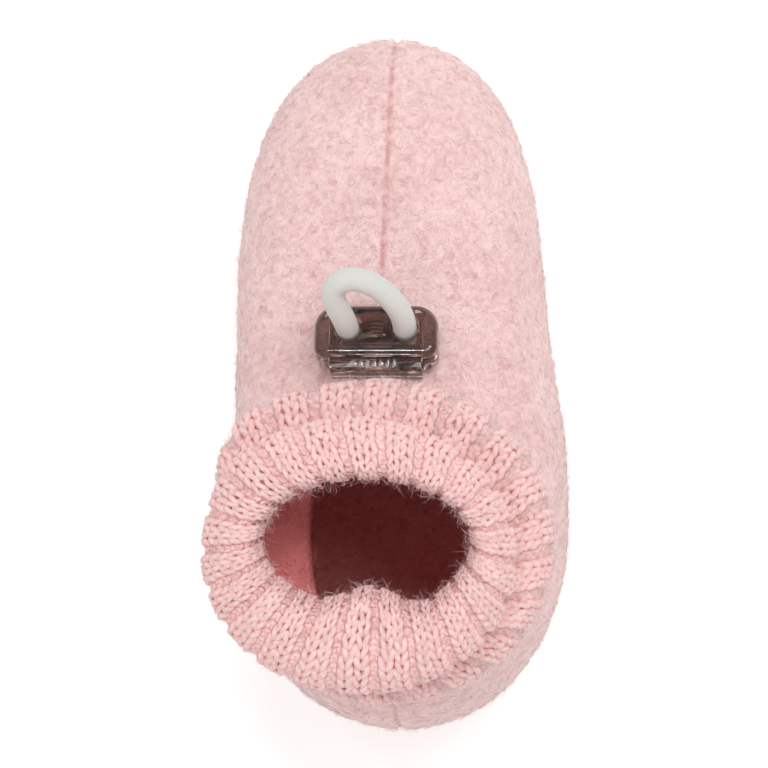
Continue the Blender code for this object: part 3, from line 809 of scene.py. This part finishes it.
def surface_spots(grid, count):
    """Random spots on closed rings, with normals and two directions along the surface."""
    columns = grid.shape[1]
    after = np.roll(grid, -1, axis=1)
    area = np.linalg.norm(np.cross(after[:-1] - grid[:-1], grid[1:] - grid[:-1]), axis=2)
    chance = np.cumsum(area.ravel())
    picks = np.searchsorted(chance, rng.random(count) * chance[-1])
    row, col = np.divmod(np.minimum(picks, area.size - 1), columns)
    u = (col + rng.random(count)) / columns
    v = (row + rng.random(count)) / (len(grid) - 1)
    around = unit(after[row, col] - grid[row, col])
    normal = unit(np.cross(around, grid[row + 1, col] - grid[row, col]))
    return sampled(grid, u, v), normal, around, np.cross(normal, around)


def make_upper_fibres(outer, look):
    """Fine curly fibres that lie on the wool and a few that stand off it."""
    count = WOOL_FIBRES
    for name in ("wool_fibres_1", "wool_fibres_2"):
        spots = surface_spots(outer, count)
        loose = rng.random(count) < WOOL_LOOSE
        lifts = (
            np.where(loose, rng.uniform(0.0, 0.35, count), rng.uniform(0.12, 0.35, count)),
            np.where(loose, rng.uniform(0.3, 1.1, count), 0.0),
        )
        lengths = rng.uniform(0.9, 2.6, count)
        radius = np.where(loose, rng.uniform(0.02, 0.035, count), rng.uniform(0.035, 0.06, count))
        fibres(name, spots, lengths, lifts, radius, look, "boiled_wool")


def cuff_sheet(columns, rows):
    """Envelope of the cuff and its lip in even steps, with normals and mean length."""
    turns = even_turns(columns)
    shares = np.linspace(0.0, 1.0, 110)
    grid = cuff_grid(turns, shares)
    normal = flattened(face_normals(grid), smooth(shares * 8.0))
    top = grid[-1] - normal[-1] * 0.5 * CUFF_WALL
    ahead = grid[-1] - grid[-2]
    ahead = unit(ahead - normal[-1] * np.sum(ahead * normal[-1], axis=1, keepdims=True))
    rim = [top + 0.5 * CUFF_WALL * (normal[-1] * math.cos(bend) + ahead * math.sin(bend))
           for bend in np.radians(np.arange(15.0, 181.0, 15.0))]
    line = np.concatenate((grid, np.array(rim)))
    run = run_along(line)
    reach = run[-1] + KNIT_INSIDE
    share = np.linspace(0.0, 1.0, rows)
    even = np.empty((rows, columns, 3))
    for column in range(columns):
        for axis in range(3):
            even[:, column, axis] = np.interp(share * reach[column], run[:, column], line[:, column, axis])
    return even, face_normals(even), float(reach.mean())


def sampled(table, u, v):
    """Read a grid of closed rings at turns u and rises v, both from 0 to 1."""
    rows, columns = table.shape[:2]
    col = (u % 1.0) * columns
    row = np.clip(v, 0.0, 1.0) * (rows - 1)
    left = np.floor(col).astype(int) % columns
    low = np.minimum(np.floor(row).astype(int), rows - 2)
    across = (col - np.floor(col))[..., None]
    up = (row - low)[..., None]
    right = (left + 1) % columns
    return ((table[low, left] * (1 - across) + table[low, right] * across) * (1 - up)
            + (table[low + 1, left] * (1 - across) + table[low + 1, right] * across) * up)


def eased(values):
    """Values of a closed loop, softened over half a stitch."""
    kernel = np.hanning(9)
    padded = np.concatenate((values[-8:], values, values[:8]))
    return np.convolve(padded, kernel / kernel.sum(), "same")[8:-8]


def course_line(number, courses, sheet, normals, ribs):
    """One course of the rib: the yarn's line, its outward directions and its radius."""
    high = 1.0 / courses
    turn = even_turns(STITCH_STEPS)
    sway = turn / math.tau + STITCH_SWAY * np.sin(2.0 * turn)
    u = np.concatenate([(rib + start + (end - start) * sway) / RIB_COUNT
                        for rib in range(RIB_COUNT) for start, end, side in WALES])
    stitches = RIB_COUNT * len(WALES)
    face = eased(np.tile(np.repeat([side for *_, side in WALES], STITCH_STEPS), RIB_COUNT))
    turns = np.tile(turn, stitches)
    v = (number + 0.5) * high - STITCH_REACH * high * np.cos(turns)
    radius = np.clip(YARN_SHARE * sampled(ribs, u, v)[:, 0], *YARN_RADII)
    jitter = np.random.default_rng(100 + number)
    wobble = [eased(np.repeat(jitter.normal(0.0, 1.0, stitches), STITCH_STEPS)) for _ in range(3)]
    u = u + STITCH_SHIFT * wobble[0] / RIB_COUNT
    v = v + STITCH_RISE * wobble[1] * high
    ease = smooth(number / EASED_COURSES)
    radius = radius * (1.0 + YARN_VARIES * wobble[2]) * (0.5 + 0.5 * ease)
    swing = YARN_SWING * radius
    cross = face * (0.75 + 0.25 * face) * swing * np.cos(2.0 * turns)
    depth = -(radius + swing) - WALE_SINK * ease * (1.0 - face) - cross
    out = unit(sampled(normals, u, v))
    return sampled(sheet, u, v) + out * depth[:, None], out, radius


def round_skin(line, flat, tall, radius, sides):
    """Rings of points around the points of a line, in the plane of two directions."""
    turn = even_turns(sides)[:, None]
    ring = flat[..., None, :] * np.cos(turn) + tall[..., None, :] * np.sin(turn)
    return line[..., None, :] + ring * radius


def skin_marks(first, second, sides):
    """Length and turn at the corners of a skin's faces, from the lengths at both rings of a band."""
    near = np.repeat(first, sides)
    far = np.repeat(second, sides)
    side = np.tile(np.arange(sides), len(first))
    around = np.stack((side, side + 1, side + 1, side), axis=1) / sides
    return np.stack((near, near, far, far), axis=1).ravel(), around.ravel()


def yarn_tube(line, out, radius):
    """Points of a closed yarn around a closed line, and the marks of its faces."""
    ahead = unit(np.roll(line, -1, axis=0) - np.roll(line, 1, axis=0))
    flat = unit(np.cross(ahead, out))
    tall = np.cross(flat, ahead)
    points = round_skin(line, flat, tall, radius[:, None, None], YARN_SIDES).reshape(-1, 3)
    run = run_along(line) / YARN_TWIST
    return points, *skin_marks(np.append(run[1:], run[-1] + 0.1), run, YARN_SIDES)


def make_knit(look):
    """Rib-knit cuff: each course is one closed loop of yarn."""
    sheet, normals, reach = cuff_sheet(KNIT_COLUMNS, KNIT_ROWS)
    courses = int(round(reach / COURSE_HEIGHT))
    around = np.linalg.norm(np.roll(sheet, -1, axis=1) - sheet, axis=2).sum(axis=1)
    ribs = np.repeat((around / RIB_COUNT)[:, None], KNIT_COLUMNS, axis=1)[:, :, None]
    kept = [course_line(number, courses, sheet, normals, ribs) for number in range(courses)]
    marks = [round(mark * courses) for mark in KNIT_MARKS]
    for name, first, last in zip(("knit_lower_roll", "knit_upper_roll", "knit_mouth"), marks, marks[1:]):
        tubes = [yarn_tube(*course) for course in kept[first:last]]
        band = band_faces(len(kept[0][0]), YARN_SIDES, True)[:, ::-1]
        faces = np.concatenate([band + index * len(tubes[0][0]) for index in range(len(tubes))])
        points, along, turned = (np.concatenate(items) for items in zip(*tubes))
        mesh = new_mesh(name, points, faces)
        set_uv(mesh, "yarn", along, turned)
        place(name, mesh, look, BODY, ["cuff"] if name == "knit_lower_roll" else (), "rib_knit")
    return kept


def yarn_spots(kept, count, raised):
    """Random spots on the yarn, with normals and two directions; raised is the chance of raised wales."""
    line, out, radius = (np.concatenate(items) for items in zip(*kept))
    sides = np.repeat([side for *_, side in WALES], STITCH_STEPS)
    chance = np.cumsum(np.tile(np.where(sides > 0.0, raised, 1.0), len(line) // len(sides)))
    picks = np.searchsorted(chance, rng.random(count) * chance[-1])
    ahead = unit((np.roll(line, -1, axis=0) - line)[picks])
    beside = unit(np.cross(ahead, out[picks]))
    normal = np.cross(ahead, beside)
    normal *= np.sign(np.sum(normal * out[picks], axis=1, keepdims=True))
    return line[picks] + normal * radius[picks][:, None], normal, ahead, beside


def make_knit_fibres(kept, look, haze):
    """Halo of fibres on the knit: paler fibres in the lower roll, whose pale colour is painted sheen, longer
    round the mouth.
    """
    for name, first, last, count, long, tall, raised in KNIT_FUZZ:
        rows = kept[int(first * len(kept)):int(last * len(kept))]
        loose = rng.random(count) < KNIT_LOOSE
        lifts = (
            rng.uniform(0.08, 0.3, count),
            np.where(loose, rng.uniform(0.3, tall, count), rng.uniform(0.0, 0.3, count)),
        )
        lengths = rng.uniform(0.9, long, count)
        thick = np.where(loose, rng.uniform(0.018, 0.03, count), rng.uniform(0.03, 0.05, count))
        # The lower roll's fibres get the pale look: painted sheen of light caught by the fuzz.
        shade = haze if name == "roll_fibres" else look
        fibres(name, yarn_spots(rows, count, raised), lengths, lifts, thick, shade, "rib_knit")


def make_lining(look):
    """Back of the knit, between the two faces of the cuff."""
    turns = even_turns(LINING_COLUMNS)
    shares = np.linspace(0.0, 1.0, LINING_ROWS)
    grid = cuff_grid(turns, shares)
    normal = flattened(face_normals(grid), smooth(shares * 8.0))
    fine = lumps(grid, 1.6, 21)[:, :, None]
    outer, inner = (grid - normal * (depth + height * fine) for depth, height in LINING_FACES)
    inner = inner[::-1]
    off = np.full((2 * LINING_ROWS, LINING_COLUMNS), OFF_SEAM)
    # Painted shade: the lining's inner face takes the redder inner colour, more of it deeper down in the
    # mouth.
    inside = np.concatenate((np.zeros(LINING_ROWS), 0.94 - 0.33 * smooth(shares / 0.5)[::-1]))
    make_wall("cuff_lining", outer, inner, off, inside, look, (), "rib_knit")
    return inner


def make_collar_fibres(inner, look):
    """Fuzz inside the mouth, where the knit joins the wool."""
    count = COLLAR_FIBRES
    lifts = (rng.uniform(0.1, 0.4, count), rng.uniform(0.0, 1.2, count))
    lengths = rng.uniform(1.0, 3.0, count)
    radius = rng.uniform(0.02, 0.05, count)
    spots = surface_spots(inner[-COLLAR_ROWS:], count)
    fibres("collar_fibres", spots, lengths, lifts, radius, look, "rib_knit")


def edge_line(inset, turns):
    """Outline of the upper's lower edge, drawn in by an inset."""
    front, back, half, _, _, _, toe, heel, wide, _ = UPPER_LEVELS[0]
    front = front * 0.5 * LENGTH - inset
    back = -back * 0.5 * LENGTH + inset
    y = foot_y(front, back, toe, heel, wide, np.sin(turns))
    return axis_x(y) + (half * 0.5 * WIDTH - inset) * waist(y) * np.cos(turns), y


def under(y):
    """Underside of the sole: flat at heel and forefoot, raised at the arch and the toe."""
    share = np.clip((y - ARCH_BACK) / (ARCH_FRONT - ARCH_BACK), 0.0, 1.0)
    return ARCH_RISE * np.sin(math.pi * share) ** 2 + toe_lift(y)


def make_slab(name, layers, look, replaced, slot):
    """Foot-shaped felt layer: a rim, and two faces of rings that shrink to a middle line."""
    fine = np.linspace(0.0, math.tau, 4001)
    run = run_along(np.stack(edge_line(0.0, fine), axis=1))
    turns = np.interp(run[-1] * (np.arange(SLAB_COLUMNS) + 0.5) / SLAB_COLUMNS, run, fine)
    shrink = np.linspace(0.05, 0.97, SLAB_RINGS)

    def ring(layer, share):
        x, y = edge_line(layer[0], turns)
        hub = np.clip(y, -SLAB_HUB, SLAB_HUB)
        x = axis_x(hub) * share + x * (1.0 - share)
        y = hub * share + y * (1.0 - share)
        return np.stack((x, y, layer[1](y)), axis=1)

    rings = [ring(layers[0], share) for share in shrink[::-1]]
    rings += [ring(layer, 0.0) for layer in layers]
    rings += [ring(layers[-1], share) for share in shrink]
    grid = np.array(rings)
    way = np.where(np.arange(len(grid)) > len(shrink) + 1, -1.0, 1.0)[:, None]
    grid[:, :, 2] += SLAB_LUMPS * np.abs(lumps(grid, 1.5, 31)) * way
    mesh = bpy.data.meshes.new(name)
    shape = stack(grid)
    bmesh.ops.triangulate(shape, faces=[face for face in shape.faces if len(face.verts) > 4])
    shape.to_mesh(mesh)
    shape.free()
    mesh.shade_smooth()
    place(name, mesh, look, BODY, replaced, slot)


def make_soles(look, inside):
    """Felt sole and thin felt insole."""
    make_slab("felt_sole", (
        (SOLE_EDGE - SOLE_LIP, under),
        (0.3 - SOLE_LIP, lambda y: under(y) + 0.45),
        (-SOLE_LIP, lambda y: under(y) + SOLE_EDGE),
        (-SOLE_LIP, lambda y: 0.6 * (SOLE_THICK + toe_lift(y)) + 0.4 * (under(y) + SOLE_EDGE)),
        (-SOLE_LIP, lambda y: SOLE_THICK - 0.5 + toe_lift(y)),
        (0.5 - SOLE_LIP, lambda y: SOLE_THICK + toe_lift(y)),
    ), look, ["sole"], "sole_felt")
    inset = UPPER_WALL + INSOLE_CLEAR
    base = SOLE_THICK + GAP
    make_slab("felt_insole", (
        (inset, lambda y: base + toe_lift(y)),
        (inset, lambda y: base + INSOLE_THICK - 0.5 + toe_lift(y)),
        (inset + 0.5, lambda y: base + INSOLE_THICK + toe_lift(y)),
    ), inside, ["insole"], "insole_felt")


def lock_frame():
    """Place of the lock on the vamp, in metres: axes across, towards the toe and out of the wool."""
    shares = np.linspace(0.4, 1.0, 6001)
    line = upper_grid(np.array([0.5 * math.pi]), shares)[:, 0]
    spot = Vector(line[np.argmin(np.abs(line[:, 1] - LOCK_Y))]) + Vector((LOCK_SHIFT, 0.0, 0.0))
    tilt = Matrix.Rotation(-LOCK_TURN, 4, "X")
    out = tilt.to_3x3() @ Vector((0.0, 0.0, 1.0))
    return Matrix.Translation((spot + out * (LOCK_STAND + 0.5 * LOCK_THICK)) * MM) @ tilt


def stack(outlines):
    """Closed form from a stack of outlines in millimetres."""
    shape = bmesh.new()
    rows = [[shape.verts.new(Vector(point) * MM) for point in line] for line in outlines]
    count = len(rows[0])
    for lower, upper in zip(rows, rows[1:]):
        for index in range(count):
            after = (index + 1) % count
            shape.faces.new((lower[index], lower[after], upper[after], upper[index]))
    shape.faces.new(rows[0])
    shape.faces.new(rows[-1])
    bmesh.ops.remove_doubles(shape, verts=shape.verts, dist=1e-6)
    bmesh.ops.recalc_face_normals(shape, faces=shape.faces)
    return shape


def lock_outline(inset, height, steps):
    """Outline of the lock, drawn in by an inset, with larger corners at the toe side."""
    points = []
    front = LOCK_BACK + LOCK_LENGTH
    for quarter, (side, end) in enumerate(((1, front), (-1, front), (-1, LOCK_BACK), (1, LOCK_BACK))):
        corner = LOCK_CORNER if quarter < 2 else LOCK_BACK_CORNER
        inward = -corner if quarter < 2 else corner
        for turn in 0.5 * math.pi * (quarter + np.linspace(0.0, 1.0, steps + 1)):
            x = side * (0.5 * LOCK_WIDTH - corner) + (corner - inset) * math.cos(turn)
            points.append((x, end + inward + (corner - inset) * math.sin(turn), height))
    return points


def lock_pillow(steps, bends):
    """Block with the lock's outline and rounded upper and lower edges."""
    half = 0.5 * LOCK_THICK
    turns = 0.5 * math.pi * np.linspace(0.0, 1.0, bends + 1)
    levels = [(LOCK_EDGE * (1.0 - math.sin(turn)), -half + LOCK_EDGE * (1.0 - math.cos(turn)))
              for turn in turns]
    levels += [(inset, -height) for inset, height in reversed(levels)]
    return stack([lock_outline(inset, height, steps) for inset, height in levels])


def stepped(back, step, front, tall, low, half):
    """Slab that is tall behind the step and low in front of it, drawn out to both sides."""
    profile = ((back, -tall), (step, -tall), (step, -low), (front, -low),
               (front, low), (step, low), (step, tall), (back, tall))
    return stack([[(side, y, z) for y, z in profile] for side in (-half, half)])


def box(low, high):
    """Plain box between two corners."""
    return stack([[(x, low[1], low[2]), (x, high[1], low[2]), (x, high[1], high[2]), (x, low[1], high[2])]
                  for x in (low[0], high[0])])


def slot_shape(x, back, front, diameter, height, flare):
    """Upright cutter with round ends and flared mouths."""
    lines = []
    half = 0.5 * height
    for level, grow in ((-half, flare), (-half + flare + 1.0, 0.0), (half - flare - 1.0, 0.0), (half, flare)):
        radius = 0.5 * diameter + grow
        turns = math.pi * np.linspace(0.0, 1.0, 17)
        line = [(x + radius * math.cos(turn), front + radius * math.sin(turn), level) for turn in turns]
        line += [(x - radius * math.cos(turn), back - radius * math.sin(turn), level) for turn in turns]
        lines.append(line)
    return stack(lines)


def carved(name, shape, cutters):
    """Mesh of a shape with cutters taken away from it and its edges eased."""
    things = []
    for index, form in enumerate([shape, *cutters]):
        data = bpy.data.meshes.new(f"{name}_raw_{index}")
        form.to_mesh(data)
        form.free()
        things.append(add_object(data.name, data))
    for tool in things[1:]:
        change = things[0].modifiers.new(tool.name, "BOOLEAN")
        change.operation = "DIFFERENCE"
        change.solver = "EXACT"
        change.object = tool
    bevel = things[0].modifiers.new("edges", "BEVEL")
    bevel.width = EDGE_BEVEL * MM
    bevel.segments = 2
    bevel.limit_method = "ANGLE"
    bevel.angle_limit = math.radians(40.0)
    made = bpy.data.meshes.new_from_object(things[0].evaluated_get(bpy.context.evaluated_depsgraph_get()))
    for extra in things:
        data = extra.data
        bpy.data.objects.remove(extra, do_unlink=True)
        bpy.data.meshes.remove(data)
    made.name = name
    made.shade_smooth()
    made.set_sharp_from_angle(angle=math.radians(35.0))
    return made


def tube(name, points, diameter, sides, look, slot, replaced):
    """Closed round tube along points in metres, with its length and turn stored."""
    line = np.array(points) / MM
    ahead = unit(np.gradient(line, axis=0))
    flat = np.empty_like(line)
    flat[0] = unit(np.cross(ahead[0], (0.3, 0.9, 0.2)))
    for index in range(1, len(line)):
        flat[index] = unit(flat[index - 1] - ahead[index] * np.dot(flat[index - 1], ahead[index]))
    tall = np.cross(ahead, flat)
    skin = round_skin(line, flat, tall, 0.5 * diameter, sides)
    count = len(line)
    ends = np.stack((line[0] - ahead[0] * 0.02, line[-1] + ahead[-1] * 0.02))
    shape = np.concatenate((skin.reshape(-1, 3), ends))
    index = np.arange(sides)
    after = (index + 1) % sides
    first = np.stack((after, index, np.full(sides, count * sides)), axis=1)
    base = (count - 1) * sides
    final = np.stack((base + index, base + after, np.full(sides, count * sides + 1)), axis=1)
    mesh = new_mesh(name, shape, [*band_faces(count, sides, False), *first, *final])
    run = run_along(line)
    caps = np.zeros(6 * sides)
    set_uv(mesh, "yarn", *(np.append(marks, caps) for marks in skin_marks(run[:-1], run[1:], sides)))
    return place(name, mesh, look, BODY, replaced, slot)


def make_cord(lock_at, look):
    """Elastic cord: up through one hole of the lock, in a loop and down the other."""
    fine = through(CORD_ROUTE, np.linspace(0.0, 1.0, 60 * (len(CORD_ROUTE) - 1) + 1))
    run = run_along(fine)
    wanted = np.linspace(0.0, run[-1], CORD_RINGS)
    local = np.stack([np.interp(wanted, run, fine[:, axis]) for axis in range(3)], axis=1)
    points = [lock_at @ (Vector(point) * MM) for point in local]
    cord = tube("elastic_loop", points, CORD_DIAMETER, CORD_SIDES, look, "elastic_cord", ["cord_loop"])


def make_shell(lock_at, look):
    """Clear body of the cord lock, with a stepped pocket and two cord holes."""
    pad_room = LOCK_BACK + PAD_LENGTH - PLUNGER_OUT + PLUNGER_TRAVEL + PLUNGER_CLEAR
    pocket = stepped(LOCK_BACK - CUT_SPARE, pad_room, POCKET_END,
                     0.5 * PAD_HEIGHT + PLUNGER_CLEAR, 0.5 * POCKET_HEIGHT, 0.5 * POCKET_WIDTH)
    holes = [slot_shape(x, 0.0, 0.0, HOLE_DIAMETER, LOCK_THICK + HOLE_SPARE, HOLE_FLARE) for x in HOLE_PLACES]
    mesh = carved("lock_shell", lock_pillow(CORNER_STEPS, EDGE_STEPS), [pocket, *holes])
    mesh.transform(lock_at)
    place("lock_shell", mesh, look, BODY, ["lock_body"], "smoke_plastic")


def make_button(lock_at, look):
    """Press button of the cord lock, with cord slots, a notch for the spring and grip grooves."""
    back = LOCK_BACK - PLUNGER_OUT
    button = stepped(back, back + PAD_LENGTH, BUTTON_FRONT, 0.5 * PAD_HEIGHT,
                     0.5 * POCKET_HEIGHT - PLUNGER_CLEAR, 0.5 * POCKET_WIDTH - PLUNGER_CLEAR)
    cutters = [slot_shape(x, -PLUNGER_TRAVEL, 0.0, HOLE_DIAMETER, 2.0 * LOCK_THICK, 0.0) for x in HOLE_PLACES]
    cutters.append(box((-0.5 * NOTCH_WIDTH, BUTTON_FRONT - NOTCH_DEPTH, -LOCK_THICK),
                       (0.5 * NOTCH_WIDTH, BUTTON_FRONT + CUT_SPARE, LOCK_THICK)))
    for x in np.arange(-GRIP_REACH, GRIP_REACH + 0.1, GRIP_PITCH):
        cutters.append(box((x - 0.5 * GRIP_WIDTH, back - CUT_SPARE, 0.5 * PAD_HEIGHT - GRIP_DEPTH),
                           (x + 0.5 * GRIP_WIDTH, back + GRIP_LENGTH, PAD_HEIGHT)))
    mesh = carved("lock_button", button, cutters)
    mesh.transform(lock_at)
    place("lock_button", mesh, look, BUTTON, ["lock_plunger"], "smoke_button")


def make_spring(lock_at, look):
    """Coil spring between button and pocket."""
    start = BUTTON_FRONT - NOTCH_DEPTH + 0.5 * SPRING_WIRE + SPRING_CLEAR
    last = POCKET_END - 0.5 * SPRING_WIRE - SPRING_CLEAR
    radius = 0.5 * (SPRING_DIAMETER - SPRING_WIRE)
    turns = np.linspace(0.0, math.tau * SPRING_TURNS, SPRING_TURNS * SPRING_STEPS + 1)
    along = np.linspace(start, last, len(turns))
    coil = np.stack((radius * np.cos(turns), along, radius * np.sin(turns)), axis=1)
    points = [lock_at @ (Vector(point) * MM) for point in coil]
    spring = tube("lock_coil", points, SPRING_WIRE, SPRING_SIDES, look, "spring_steel", ["lock_spring"])
    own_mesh(spring)


def main():
    """Dress the slipper."""
    make_camera()
    make_studio()
    lock_at = lock_frame()
    make_cord(lock_at, cord_look("elastic_cord_knit", (0.62, 0.615, 0.58), (0.73, 0.725, 0.69)))
    make_shell(lock_at, plastic_look("smoke_plastic_clear", (0.40, 0.29, 0.255), 0.03))
    make_button(lock_at, plastic_look("smoke_button_clear", (0.76, 0.66, 0.63), 0.05))
    make_spring(lock_at, metal_look("spring_wire", (0.92, 0.91, 0.89)))
    # The wool's inner colour is painted shade for its inner wall and collar rim.
    wool = wool_look("boiled_wool", (0.83, 0.52, 0.505), (0.97, 0.70, 0.68), (0.99, 0.76, 0.74),
                     sheen=0.4, inner=(0.98, 0.37, 0.36))
    outer = make_upper(wool)
    # The wool fibres are paler and greyer than the felt; part of that is painted sheen, the light that the
    # fuzz catches at the edges and heel.
    make_upper_fibres(outer, fibre_look("wool_fibre", (0.88, 0.69, 0.67), (0.97, 0.82, 0.80)))
    kept = make_knit(yarn_look("rib_yarn", (0.90, 0.57, 0.555), (1.0, 0.73, 0.71)))
    # haze_fibre is paler and greyer than the yarn: painted sheen of the fuzz on the lower roll.
    make_knit_fibres(kept, fibre_look("knit_fibre", (0.90, 0.62, 0.60), (0.98, 0.74, 0.72)),
                     fibre_look("haze_fibre", (0.93, 0.79, 0.77), (0.99, 0.90, 0.88)))
    # The lining's inner colour is painted shade for the inside of the cuff.
    inner = make_lining(wool_look("knit_back", (0.78, 0.47, 0.46), (0.88, 0.58, 0.56), (0.90, 0.62, 0.60),
                                  sheen=0.0, inner=(0.94, 0.28, 0.27)))
    # The collar fibres' deep red is painted shade of the inside of the mouth.
    make_collar_fibres(inner, fibre_look("collar_fibre", (0.94, 0.36, 0.35), (0.98, 0.46, 0.44)))
    # The sole felt keeps its own colour; the insole's deep red colours are painted shade of the slipper's
    # dark inside.
    make_soles(wool_look("sole_felt", (0.66, 0.38, 0.37), (0.82, 0.54, 0.52), (0.88, 0.64, 0.62)),
               wool_look("insole_felt", (0.92, 0.38, 0.37), (0.98, 0.48, 0.46), (0.99, 0.54, 0.52),
                         sheen=0.0))


main()
